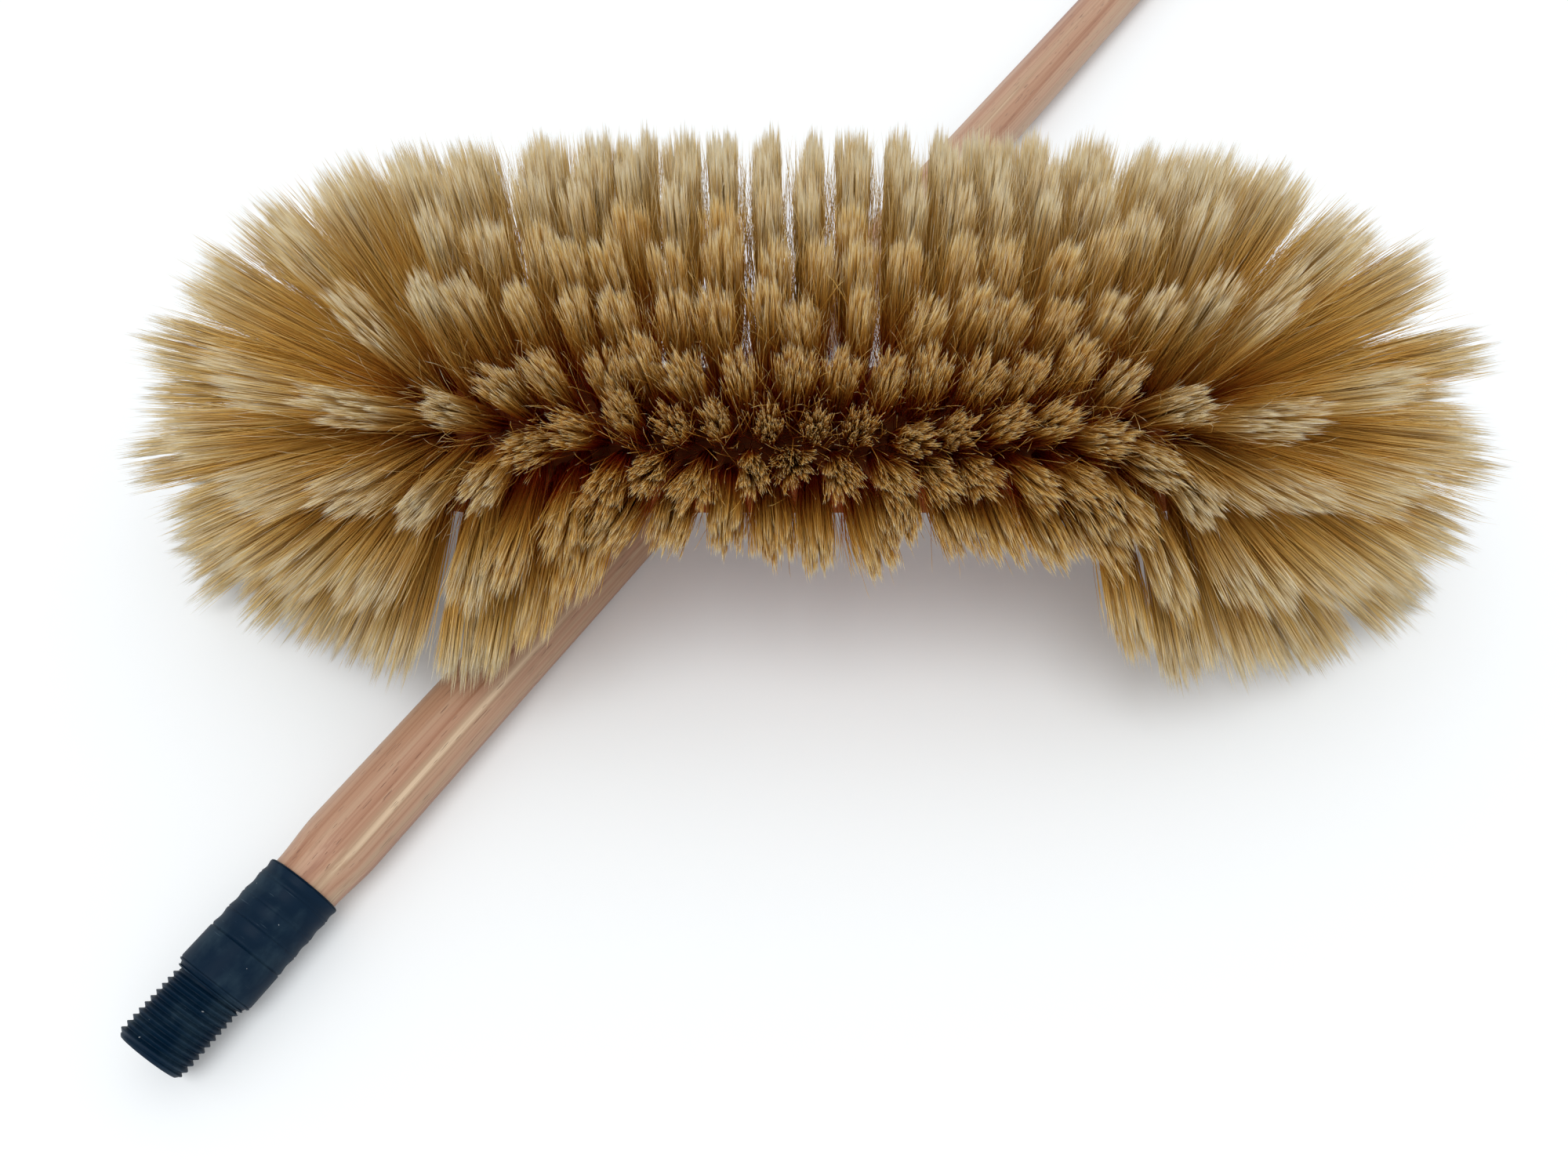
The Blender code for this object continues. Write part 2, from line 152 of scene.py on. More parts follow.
INNER_ROWS = 3

# Hairs. A table with six values has one for the middle row, then one for each row outwards.
HAIRS_PER_TUFT = 480
HAIR_RADIUS = 0.00013
HAIR_SIDES = 3
HAIR_LEANING = (0.31, 0.83, 0.46)
HAIR_STATIONS = (0, 0.32, 0.66, 0.92, 1)
HAIR_THICKNESS_SHARES = (1, 1, 0.92, 0.70)
STRAY_THICKNESS_SHARE = 0.7
THINNEST_HAIR_SHARE = 0.75
HAIR_LUCK_SHARE = 0.5
BUNDLE_RADIUS = 0.0021
BUNDLE_DEPTH = 0.0040
NEAR_TIP_WIDTH_SHARES = (0.44, 0.44, 0.45, 0.40, 0.48, 0.56)
FAR_TIP_WIDTH_SHARES = (0.30, 0.30, 0.29, 0.26, 0.21, 0.16)
CORNER_TIP_WIDTH_SHARES = (0.43, 0.43, 0.43, 0.44, 0.47, 0.50)
TIP_HALF_DEPTHS = (0.0055, 0.0055, 0.0060, 0.0060, 0.0070, 0.0060)
TUFT_WIDTH_LUCK_SHARE = 0.20
WIDEST_TIP_GAP = 0.0340
NEAR_FLARE_SHARES = (0.30, 0.20, 0.10, 0, -0.20, 1.60)
FLARE_SHARE = 0.40
CLUMPS_PER_TUFT = 26
CLUMPING_SHARE = 0.50
NEAR_SPLAY_SHARE = 0.20
SPLAY_SHARE = 0.12
SPIKE_SHARE = 0.24
CLUMP_UNEVEN_SHARE = 0.06
NEAR_DOME_SHARE = 0.06
DOME_SHARE = 0.03
NEAR_CUT_SHARE = 0.20
CUT_SHARE = 0.10
NEAR_LENGTH_SHARE = 1.035
LENGTH_SHARES = (1.065, 1.065, 1.065, 1.070, 1.080, 1.090)
CURL_SHARE = 0.014
STRAY_SHARES = (0.10, 0.10, 0.10, 0.10, 0.06, 0.04)
STRAY_CURL_SHARES = (0.09, 0.09, 0.08, 0.07, 0.06, 0.04)
# Powers that make the dark root climb higher along each hair: painted shade, highest in the near and middle
# rows seen end-on, plain on far rows, least on the corner fans.
NEAR_PAINTED_SHADE_POWERS = (2.2, 2.5, 2.8, 3.0, 3.0, 2.2)
CORNER_PAINTED_SHADE_POWER = 0.80
TUFT_WANDER = 0.0022
FLOOR_GAP = 0.0005
HAIR_TONES = 128
TONE_MARGIN_SHARE = 0.1
HAIR_MAP = "HairTone"
KEPT_MAP = "OFBake"

# Camera and light: the head's middle seen from above its near side
CAMERA_LEFT_OF_HEAD = 0.0090
CAMERA_BEFORE_HEAD = 0.2737
CAMERA_HEIGHT = 0.3420
CAMERA_DOWN = math.radians(55.5)
CAMERA_LENS = 27
SENSOR_WIDTH = 36
KEY_FROM = (-0.08, -0.30, 1)
KEY_STRENGTH = 1.05
KEY_SPREAD = math.radians(35)
SKY_STRENGTH = 0.88
FLOOR_SIZE = 12
FLOOR_COLOUR = (0.80, 0.83, 0.85)
FLOOR_GLOW = 0.09


class Shade:
    """A node's output, used in Python sums: each operator adds its Math node."""

    def __init__(self, finish, socket):
        self.finish = finish
        self.socket = socket

    def out(self, name):
        return Shade(self.finish, self.socket.node.outputs[name])

    def math(self, operation, *others):
        terms = dict(enumerate((self, *others)))
        return self.finish.node("ShaderNodeMath", {"operation": operation}, terms)

    def __add__(self, other):
        return self.math("ADD", other)

    def __mul__(self, other):
        return self.math("MULTIPLY", other)

    def __sub__(self, other):
        return self.math("SUBTRACT", other)

    def __rsub__(self, other):
        return self.finish.node("ShaderNodeMath", {"operation": "SUBTRACT"}, {0: other, 1: self})

    __radd__ = __add__
    __rmul__ = __mul__


class Nodes:
    """A node tree, with one way to add any node."""

    def __init__(self, tree):
        self.tree = tree

    def feed(self, node, inputs):
        for name, value in inputs.items():
            if isinstance(value, Shade):
                self.tree.links.new(value.socket, node.inputs[name])
            else:
                node.inputs[name].default_value = value

    def node(self, kind, settings=None, inputs=None):
        made = self.tree.nodes.new(kind)
        for name, value in (settings or {}).items():
            if name == "stops":
                self.set_stops(made.color_ramp, value)
            else:
                setattr(made, name, value)
        self.feed(made, inputs or {})
        return Shade(self, next(socket for socket in made.outputs if socket.enabled))

    def set_stops(self, ramp, stops):
        while len(ramp.elements) < len(stops):
            ramp.elements.new(1)
        for element, (position, colour) in zip(ramp.elements, stops):
            element.position = position
            element.color = (*colour, 1)

    def seen(self):
        """One for what the camera sees, also by reflection or through glass."""
        path = self.node("ShaderNodeLightPath")
        mirrored = path.out("Is Glossy Ray").math("MAXIMUM", path.out("Is Transmission Ray"))
        return path.out("Is Camera Ray").math("MAXIMUM", mirrored)


class Finish(Nodes):
    """One material: its Principled shader, and the patterns that feed it."""

    def __init__(self, name, **shader_values):
        self.material = bpy.data.materials.new(name)
        self.material.use_nodes = True
        super().__init__(self.material.node_tree)
        self.shader = self.tree.nodes["Principled BSDF"]
        self.feed(self.shader, {key.replace("_", " "): value for key, value in shader_values.items()})

    def ramp(self, value, stops):
        return self.node("ShaderNodeValToRGB", {"stops": stops}, {"Fac": value})

    def mask(self, value, low, high):
        return self.node(
            "ShaderNodeMapRange",
            {"interpolation_type": "SMOOTHSTEP"},
            {"Value": value, "From Min": low, "From Max": high},
        )

    def mix(self, factor, first, second, blend="MIX"):
        settings = {"data_type": "RGBA", "blend_type": blend}
        first, second = [v if isinstance(v, Shade) else (*v, 1) for v in (first, second)]
        return self.node("ShaderNodeMix", settings, {0: factor, 6: first, 7: second})

    def place(self, origin, turn=0):
        """The surface's place in a frame that is moved and turned about Z."""
        coordinates = self.node("ShaderNodeTexCoord").out("Object")
        inputs = {"Vector": coordinates, "Location": origin, "Rotation": (0, 0, turn)}
        return self.node("ShaderNodeMapping", {"vector_type": "TEXTURE"}, inputs)

    def noise(self, place, scales, detail=3, roughness=0.55, warp=0):
        stretched = self.node(
            "ShaderNodeVectorMath", {"operation": "MULTIPLY"}, {0: place, 1: scales}
        )
        inputs = {
            "Vector": stretched,
            "Scale": 1,
            "Detail": detail,
            "Roughness": roughness,
            "Distortion": warp,
        }
        return self.node("ShaderNodeTexNoise", None, inputs).out("Fac")

    def bump(self, height, depth):
        inputs = {"Height": height, "Distance": depth}
        self.feed(self.shader, {"Normal": self.node("ShaderNodeBump", None, inputs)})


# Finishes


def hair_finish():
    """Brown at the root, golden along its length and bleached at the tip, a tone for each hair. The dark red
    root is partly the hair's own colour and partly painted shade of the tufts' depths.
    """
    finish = Finish("natural_hair", Roughness=0.45, Specular_IOR_Level=0.02)
    spot = finish.node("ShaderNodeUVMap", {"uv_map": HAIR_MAP})
    parts = finish.node("ShaderNodeSeparateXYZ", None, {0: spot})
    tone, along = parts.out("X"), parts.out("Y")
    number = (tone * HAIR_TONES).math("FLOOR")
    luck = finish.node("ShaderNodeTexWhiteNoise", {"noise_dimensions": "1D"}, {"W": number})
    fade = finish.node("ShaderNodeTexWhiteNoise", {"noise_dimensions": "1D"}, {"W": number + 0.5})
    locks = finish.noise(finish.node("ShaderNodeTexCoord").out("Object"), (75, 75, 75), detail=1)
    # The dark red lower stops are partly the hair's colour and partly painted shade deep in the tufts.
    colour = finish.ramp(
        along + (fade - 0.5) * 0.10,
        [
            (0.00, (0.760, 0.045, 0.008)),
            (0.15, (0.780, 0.140, 0.015)),
            (0.33, (0.790, 0.330, 0.044)),
            (0.55, (0.825, 0.475, 0.090)),
            (0.76, (0.840, 0.545, 0.150)),
            (0.90, (0.825, 0.640, 0.305)),
            (1.00, (0.840, 0.780, 0.610)),
        ],
    )
    shaded = finish.mix(luck * 0.34, colour, (0.60, 0.45, 0.27), "MULTIPLY")
    warmed = finish.mix(finish.mask(locks, 0.40, 0.66) * 0.30, shaded, (0.90, 0.72, 0.45), "MULTIPLY")
    finish.feed(finish.shader, {"Base Color": warmed})
    return finish.material


def stick_finish():
    """Straight-grained pinkish wood with reddish streaks, pale cream streaks that are partly grain and partly
    painted highlight, and fine dark pores.
    """
    finish = Finish("handle_wood")
    place = finish.place(STICK_FRAME.translation)
    streaks = finish.noise(place, (2.4, 190, 190), detail=4, roughness=0.60)
    bands = finish.noise(place, (1.1, 95, 95), detail=2)
    fine = finish.noise(place, (9, 1500, 1500), detail=2)
    pores = finish.noise(place, (120, 2600, 2600), detail=1)
    # The cream top stop is partly grain and partly painted highlight.
    colour = finish.ramp(
        streaks * 0.62 + bands * 0.38,
        [
            (0.32, (0.240, 0.086, 0.038)),
            (0.42, (0.365, 0.186, 0.106)),
            (0.50, (0.440, 0.264, 0.168)),
            (0.58, (0.415, 0.274, 0.172)),
            (0.66, (0.650, 0.492, 0.335)),
        ],
    )
    lined = finish.mix(finish.mask(fine, 0.46, 0.66) * 0.40, colour, (0.66, 0.50, 0.40), "MULTIPLY")
    pored = finish.mix(finish.mask(pores, 0.70, 0.74) * 0.7, lined, (0.16, 0.07, 0.04))
    finish.feed(finish.shader, {"Base Color": pored, "Roughness": 0.34 + streaks * 0.20})
    finish.bump(fine - finish.mask(pores, 0.70, 0.74) * 1.5, 0.00006)
    return finish.material


def block_finish():
    """Sawn wood, plain, and darker and redder than the stick: partly the wood's own tone and partly painted
    shade of the deep partings between tufts, where the block shows.
    """
    finish = Finish("block_wood", Specular_IOR_Level=0.02)
    place = finish.place((HEAD_CENTRE.x, HEAD_CENTRE.y, 0), HEAD_TURN)
    growth = finish.noise(place, (5, 60, 170), detail=4, warp=0.6)
    fine = finish.noise(place, (22, 900, 900), detail=2)
    flecks = finish.noise(place, (260, 1500, 1500), detail=1)
    # Dark red stops: partly wood tone, partly painted shade of the partings between tufts.
    colour = finish.ramp(
        growth,
        [
            (0.30, (0.190, 0.030, 0.006)),
            (0.48, (0.220, 0.052, 0.012)),
            (0.62, (0.250, 0.080, 0.023)),
            (0.74, (0.300, 0.120, 0.042)),
        ],
    )
    lined = finish.mix(finish.mask(fine, 0.44, 0.66) * 0.45, colour, (0.62, 0.46, 0.34), "MULTIPLY")
    flecked = finish.mix(finish.mask(flecks, 0.66, 0.72) * 0.6, lined, (0.17, 0.07, 0.03))
    finish.feed(finish.shader, {"Base Color": flecked, "Roughness": 0.40 + growth * 0.25})
    finish.bump(fine, 0.00008)
    return finish.material


def plastic_finish():
    """Dull navy moulded plastic, paler in patches that are partly rubbed wear and partly painted sheen, with
    fine scratches and dust.
    """
    finish = Finish("navy_plastic", Specular_IOR_Level=0.08)
    place = finish.place(STICK_FRAME.translation)
    patches = finish.noise(place, (70, 90, 90), detail=4, roughness=0.6)
    scratches = finish.noise(place, (2600, 90, 90), detail=2, warp=0.4)
    dust = finish.noise(place, (900, 900, 900), detail=1)
    # Paler blue-grey patches: partly rubbed wear, partly painted sheen.
    rubbed_and_sheen = finish.mix(
        finish.mask(patches, 0.46, 0.72), (0.0012, 0.0110, 0.0270), (0.0130, 0.0300, 0.0480)
    )
    scratched = finish.mix(finish.mask(scratches, 0.70, 0.76) * 0.5, rubbed_and_sheen, (0.08, 0.12, 0.16))
    dusty = finish.mix(finish.mask(dust, 0.80, 0.83) * 0.8, scratched, (0.45, 0.48, 0.50))
    finish.feed(finish.shader, {"Base Color": dusty, "Roughness": 0.34 + patches * 0.28})
    finish.bump(patches + scratches * 0.3, 0.00006)
    return finish.material


# Meshes


def show(name, mesh, material, place):
    """Puts a mesh that was made in its own frame in the row frame, as an object of its own."""
    mesh.transform(place)
    mesh.materials.append(material)
    mesh.shade_smooth()
    piece = bpy.data.objects.new(name, mesh)
    bpy.context.scene.collection.objects.link(piece)
    return piece


def settle(piece, body, slot, *nodes):
    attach(piece, body)
    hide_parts(*nodes)


def round_turns():
    """The angle of each corner of a ring."""
    return 2 * math.pi * np.arange(ROUND_SIDES) / ROUND_SIDES


def lathe(name, rings):
    """A closed skin of rings about X: where each lies, and its radius or one for each corner."""
    turns = round_turns()
    along = np.array([place for place, _ in rings])[:, None] * np.ones(ROUND_SIDES)
    radii = np.array([radius * np.ones(ROUND_SIDES) for _, radius in rings])
    corners = np.stack([along, radii * np.cos(turns), radii * np.sin(turns)], -1)
    number = np.arange(along.size).reshape(along.shape)
    after = np.roll(number, -1, 1)
    quads = np.stack([number[:-1], number[1:], after[1:], after[:-1]], -1).reshape(-1, 4)
    mesh = bpy.data.meshes.new(name)
    faces = [*quads.tolist(), number[0].tolist(), number[-1][::-1].tolist()]
    mesh.from_pydata(corners.reshape(-1, 3).tolist(), [], faces)
    return mesh


def rounded(along, radius, depth, towards, start=0, end=1):
    """Rings of a quarter round, depth deep, that ends or begins on the outer radius."""
    points = []
    for step in range(EDGE_STEPS + 1):
        turn = math.pi / 2 * (start + (end - start) * step / EDGE_STEPS)
        points.append((along + towards * depth * (1 - math.sin(turn)), radius - depth * (1 - math.cos(turn))))
    return points


# Stick


def stick_sag(along):
    """How far the stick's skin lies inside its full radius, at each corner of a ring."""
    turns = round_turns()
    first_rate, second_rate = STICK_WAVE_RATES
    across = np.sin(along * first_rate) * np.cos(turns)
    upward = np.sin(along * second_rate + STICK_WAVE_SHIFT) * np.sin(turns)
    return STICK_WAVE * (1 + (across + upward) / 2) / 2


def make_stick(material):
    rings = [
        (TENON_START, TENON_RADIUS - TENON_CHAMFER),
        (TENON_START + TENON_CHAMFER, TENON_RADIUS),
        (FERRULE_LENGTH - SHOULDER_DEPTH, TENON_RADIUS),
    ]
    straight_start = FERRULE_LENGTH + TAPER_LENGTH
    for share in np.linspace(0, 1, TAPER_STEPS + 1)[1:]:
        swell = share * share * (3 - 2 * share)
        radius = TENON_RADIUS + (STICK_RADIUS - TENON_RADIUS) * swell
        rings.append((FERRULE_LENGTH + TAPER_LENGTH * share, radius))
    straight_end = OVERALL_LENGTH - STICK_END_ROUND
    steps = int((straight_end - straight_start) / STICK_STATION)
    for number in range(1, steps):
        along = straight_start + (straight_end - straight_start) * number / steps
        rings.append((along, STICK_RADIUS))
    rings += rounded(OVERALL_LENGTH, STICK_RADIUS, STICK_END_ROUND, -1)
    mesh = lathe("handle_stick", [(along, radius - stick_sag(along)) for along, radius in rings])
    mesh.set_sharp_from_angle(angle=STICK_SHARP_ANGLE)
    piece = show("handle_stick", mesh, material, STICK_FRAME)
    settle(piece, "stick", "handle_wood", "handle")


# Ferrule


def thread_radii(along, turns, gap=0):
    """A V thread with small flats, which fades in and out over a part of a turn at its ends."""
    share = ((along - THREAD_START) / THREAD_PITCH - turns / (2 * math.pi)) % 1
    ridge = np.clip((1 - np.abs(2 * share - 1) - CREST_FLAT_SHARE) / (1 - 2 * CREST_FLAT_SHARE), 0, 1)
    from_end = np.minimum(along - THREAD_START, THREAD_END - along)
    fade = np.clip(from_end / THREAD_PITCH / THREAD_FADE_TURNS, 0, 1)
    return THREAD_ROOT_RADIUS + (THREAD_CREST_RADIUS - THREAD_ROOT_RADIUS) * ridge * fade + gap


def thread_stations(start, end):
    steps = int((end - start) / THREAD_PITCH * THREAD_STEPS_PER_TURN)
    return np.linspace(start, end, steps + 1)


def sleeve_radius(along):
    """Gently waisted between fine cut lines."""
    edges = np.array([COLLAR_END, *RING_LINES, FERRULE_LENGTH - EDGE_ROUND])
    number = int(np.clip(np.searchsorted(edges, along) - 1, 0, len(edges) - 2))
    share = (along - edges[number]) / (edges[number + 1] - edges[number])
    waist = WAIST_DEPTH * math.sin(math.pi * min(max(share, 0), 1)) ** 2
    nearest = min(abs(along - line) for line in RING_LINES)
    groove = RING_LINE_DEPTH * max(0, 1 - nearest / RING_LINE_HALF_WIDTH)
    return STICK_RADIUS - waist - groove


def make_ferrule(material):
    turns = round_turns()
    rings = [(0, THREAD_ROOT_RADIUS - TIP_CHAMFER), (TIP_CHAMFER, THREAD_ROOT_RADIUS)]
    rings += [(along, thread_radii(along, turns)) for along in thread_stations(THREAD_START, THREAD_END)]
    rings += [(STEP_START, THREAD_ROOT_RADIUS), (STEP_START, STEP_RADIUS - EDGE_ROUND)]
    rings += rounded(STEP_START, STEP_RADIUS, EDGE_ROUND, 1)[1:]
    rings += [(COLLAR_START, STEP_RADIUS)]
    rings += rounded(COLLAR_START, STICK_RADIUS, EDGE_ROUND, 1)
    last = FERRULE_LENGTH - EDGE_ROUND
    for along in np.arange(COLLAR_START + EDGE_ROUND * 2, last, RING_LINE_HALF_WIDTH / 2):
        rings.append((along, sleeve_radius(along) if along > COLLAR_END else STICK_RADIUS))
    rings += rounded(FERRULE_LENGTH, STICK_RADIUS, EDGE_ROUND, -1, 1, 0)[:-1]
    rings += [(FERRULE_LENGTH, BORE_RADIUS), (BORE_END, BORE_RADIUS)]
    mesh = lathe("threaded_ferrule", rings)
    mesh.set_sharp_from_angle(angle=FERRULE_SHARP_ANGLE)
    piece = show("threaded_ferrule", mesh, material, STICK_FRAME)
    settle(piece, "stick", "navy_plastic", "ferrule")


# Block


def face_place(row_angle):
    """How far out and how high the drilled face lies."""
    return BLOCK_HALF_WIDTH * np.sin(row_angle), CROWN_CENTRE_HEIGHT + BLOCK_CROWN * np.cos(row_angle)


def block_outline():
    """(out, height) points from the middle of the back, round its edge, to the crown."""
    outline = [(0, BACK_HEIGHT)]
    for step in range(BACK_EDGE_STEPS + 1):
        turn = math.pi / 2 * step / BACK_EDGE_STEPS
        out = BLOCK_HALF_WIDTH - BACK_EDGE_ROUND * (1 - math.sin(turn))
        outline.append((out, BACK_HEIGHT + BACK_EDGE_ROUND * (1 - math.cos(turn))))
    for step in range(FACE_STEPS + 1):
        outline.append(face_place(math.pi / 2 * (1 - step / FACE_STEPS)))
    return outline


def block_stations():
    """(x, way x, way y) round the block's oval: where each outline stands, and which way it faces."""
    stations = []
    for end in (1, -1):
        for step in range(BLOCK_END_STEPS + 1):
            turn = end * (math.pi * step / BLOCK_END_STEPS - math.pi / 2)
            stations.append((end * SPINE_END, end * math.cos(turn), math.sin(turn)))
        for step in range(1, BLOCK_STRAIGHT_STEPS):
            x = end * SPINE_END * (1 - 2 * step / BLOCK_STRAIGHT_STEPS)
            stations.append((x, 0, end))
    return stations


def block_solid():
    bm = bmesh.new()
    outline = block_outline()
    skin = [
        [bm.verts.new((x + way_x * out, way_y * out, z)) for out, z in outline]
        for x, way_x, way_y in block_stations()
    ]
    for number, station in enumerate(skin):
        after = skin[(number + 1) % len(skin)]
        for place in range(len(outline) - 1):
            bm.faces.new((station[place], after[place], after[place + 1], station[place + 1]))
    bmesh.ops.remove_doubles(bm, verts=bm.verts, dist=MERGE_DISTANCE)
    bmesh.ops.recalc_face_normals(bm, faces=bm.faces)
    mesh = bpy.data.meshes.new("drilled_block")
    bm.to_mesh(mesh)
    bm.free()
    return mesh


def drill_holes(tufts):
    """A plain round cutter for each tuft's hole, all in one mesh."""
    bm = bmesh.new()
    for hole, tip in tufts:
        way = Vector(tip - hole).normalized()
        turned = way.to_track_quat("X", "Z").to_matrix().to_4x4()
        place = Matrix.Translation(hole) @ turned
        rings = []
        for depth in (HOLE_OVERRUN, -HOLE_DEPTH):
            turns = [2 * math.pi * side / HOLE_SIDES for side in range(HOLE_SIDES)]
            corners = [(depth, HOLE_RADIUS * math.cos(t), HOLE_RADIUS * math.sin(t)) for t in turns]
            rings.append([bm.verts.new(place @ Vector(corner)) for corner in corners])
        for side in range(HOLE_SIDES):
            after = (side + 1) % HOLE_SIDES
            bm.faces.new((rings[0][side], rings[0][after], rings[1][after], rings[1][side]))
        for ring in rings:
            bm.faces.new(ring)
    bmesh.ops.recalc_face_normals(bm, faces=bm.faces)
    mesh = bpy.data.meshes.new("hole_cutters")
    bm.to_mesh(mesh)
    bm.free()
    return mesh


def socket_frame():
    """Local X runs into the block from the middle of the seat."""
    mouth = Vector((0, -SOCKET_ASIDE, BACK_HEIGHT + SEAT_DEPTH))
    return Matrix.Translation(mouth) @ Matrix.Rotation(math.pi / 2 - SOCKET_LEAN, 4, "X") @ (
        Matrix.Rotation(math.pi / 2, 4, "Z")
    )


def socket_cutters():
    """The seat for the collar, and the screw's space with the ferrule's own thread."""
    seat = lathe("seat_cutter", [(0, SEAT_RADIUS), (-2 * SEAT_DEPTH - CUT_OVERRUN, SEAT_RADIUS)])
    turns = round_turns()
    root = THREAD_ROOT_RADIUS + FIT_GAP
    mouth_end = COLLAR_START - STEP_START + FIT_GAP
    rings = [(COLLAR_START + FIT_GAP, root - TIP_CHAMFER)]
    for along in thread_stations(TIP_CHAMFER, COLLAR_START - mouth_end):
        rings.append((COLLAR_START - along, thread_radii(along, turns, FIT_GAP)))
    mouth = STEP_RADIUS + FIT_GAP
    rings += [(mouth_end, mouth), (-CUT_OVERRUN, mouth)]
    screw = lathe("screw_cutter", rings)
    for mesh in (seat, screw):
        mesh.transform(socket_frame())
    return seat, screw


def cut(piece, cutter_meshes):
    """Takes the cutters out of a piece and leaves it as a plain mesh."""
    cutters = []
    for mesh in cutter_meshes:
        bm = bmesh.new()
        bm.from_mesh(mesh)
        bmesh.ops.recalc_face_normals(bm, faces=bm.faces)
        bm.to_mesh(mesh)
        bm.free()
        cutter = bpy.data.objects.new(mesh.name, mesh)
        bpy.context.scene.collection.objects.link(cutter)
        modifier = piece.modifiers.new(mesh.name, "BOOLEAN")
        modifier.object = cutter
        modifier.solver = "MANIFOLD"
        cutters.append(cutter)
    bpy.context.view_layer.update()
    evaluated = piece.evaluated_get(bpy.context.evaluated_depsgraph_get())
    carved = bpy.data.meshes.new_from_object(evaluated)
    piece.modifiers.clear()
    piece.data = carved
    for cutter in cutters:
        bpy.data.objects.remove(cutter)


def make_block(material, tufts):
    piece = bpy.data.objects.new("drilled_block", block_solid())
    bpy.context.scene.collection.objects.link(piece)
    cut(piece, [drill_holes(tufts), *socket_cutters()])
    piece.data.transform(HEAD_FRAME)
    piece.data.materials.clear()
    piece.data.materials.append(material)
    piece.data.shade_smooth()
    piece.data.set_sharp_from_angle(angle=BLOCK_SHARP_ANGLE)
    settle(piece, "head", "block_wood", "block")


# Where the tufts stand


def tip_place(lean, reach):
    """How far out and how high tips lie."""
    return reach * np.sin(lean), CROWN_CENTRE_HEIGHT + reach * np.cos(lean)


def corner_share(x, side, row):
    """From 0 in the middle of a row to 1 at its end, where the tufts of the corner spread out."""
    left_start, left_end = LEFT_NEAR_CORNER if side < 0 else FAR_CORNER
    if side < 0 and row <= INNER_ROWS:
        left_start = INNER_LEFT_CORNER_START
    right_start, right_end = NEAR_CORNER if side < 0 else FAR_CORNER
    start = np.where(x < 0, left_start, right_start)
    end = np.where(x < 0, left_end, right_end)
    share = np.clip((np.abs(x) - start) / (end - start), 0, 1)
    return share * share * (3 - 2 * share)


def row_tufts(row, side):
    """Hole and tip of each tuft in a straight row, which leans to the near side between corners.

    Every second near row stands half a pitch over.
    """
    pitch = 2 * SPINE_END / TUFTS_IN_ROW
    count = TUFTS_IN_ROW - (side < 0 and row % 2 == 0)
    x = (np.arange(count) - (count - 1) / 2) * pitch
    corner = corner_share(x, side, row)
    lean = row * ROW_LEAN * (1 + CORNER_SPREAD_SHARE * corner) - side * FAN_LEAN * (1 - corner)
    out, height = tip_place(lean, TUFT_REACH)
    hole_out, hole_height = face_place(row * ROW_STEP)
    level = np.ones(count)
    turn = FAR_CORNER_TURN * corner * np.sign(x) * (side > 0)
    holes = np.stack([x, side * hole_out * level, hole_height * level], -1)
    return holes, np.stack([x + out * np.sin(turn), side * out * np.cos(turn), height * level], -1)


def ring_tufts(row, end):
    """Hole and tip of each tuft in the half ring round one end of the block."""
    count = RING_TUFTS[row - 1]
    turn = math.pi * ((np.arange(count) + 1 / 2) / count - 1 / 2)
    lean = row * ROW_LEAN * (1 + CORNER_SPREAD_SHARE + END_SPREAD_SHARE * np.cos(turn))
    trim = np.where(turn > 0, FAR_TRIMS[end > 0], NEAR_TRIMS[end > 0])
    extra = END_EXTRA_REACH * np.cos(turn) ** 4 - trim * np.abs(np.sin(2 * turn))
    out, height = tip_place(lean, TUFT_REACH + extra * (row / ROWS) ** 2)
    hole_out, hole_height = face_place(row * ROW_STEP)
    tip_turn = turn * np.where(turn > 0, 1 - FAR_CORNER_TURN / (math.pi / 2), 1)
    holes = np.stack([np.cos(turn) * hole_out, np.sin(turn) * hole_out, hole_height + 0 * turn], -1)
    tips = np.stack([np.cos(tip_turn) * out, np.sin(tip_turn) * out, height], -1)
    return [end * SPINE_END * np.array([1, 0, 0]) + places * [end, 1, 1] for places in (holes, tips)]


def all_tufts():
    """(CAD node, holes, tips) for each row and ring."""
    groups = [("tufts_middle_row", *row_tufts(0, 1))]
    for row in range(1, ROWS + 1):
        groups.append((f"tufts_near_row_{row}", *row_tufts(row, -1)))
        groups.append((f"tufts_far_row_{row}", *row_tufts(row, 1)))
        groups.append((f"tufts_left_ring_{row}", *ring_tufts(row, -1)))
        groups.append((f"tufts_right_ring_{row}", *ring_tufts(row, 1)))
    return groups


# Hairs


def unit(vectors):
    return vectors / np.linalg.norm(vectors, axis=-1, keepdims=True)


def square_to(ways, leaning):
    """Two unit vectors square to each way: one that leans as given, and one square to that."""
    first = unit(leaning - (leaning * ways).sum(-1, keepdims=True) * ways)
    return first, np.cross(ways, first)


def scatter(random, shape):
    """Even places in a unit disc."""
    radius = np.sqrt(random.random(shape))
    turn = 2 * math.pi * random.random(shape)
    return np.stack([radius * np.cos(turn), radius * np.sin(turn)], -1)


def draw_together(random, spots):
    """Where each hair ends in its tuft, drawn to the nearest clump, and its share of the length.

    Clumps differ in length, and each comes to a point.
    """
    clumps = scatter(random, (len(spots), CLUMPS_PER_TUFT))
    lengths = 1 - CLUMP_UNEVEN_SHARE * random.random((len(spots), CLUMPS_PER_TUFT, 1))
    apart = np.linalg.norm(spots[:, :, None] - clumps[:, None], axis=-1)
    number = apart.argmin(-1)[..., None]
    nearest = np.take_along_axis(clumps, number, 1)
    length_share = np.take_along_axis(lengths, number, 1) - SPIKE_SHARE * apart.min(-1)[..., None]
    return spots + (nearest - spots) * CLUMPING_SHARE, length_share


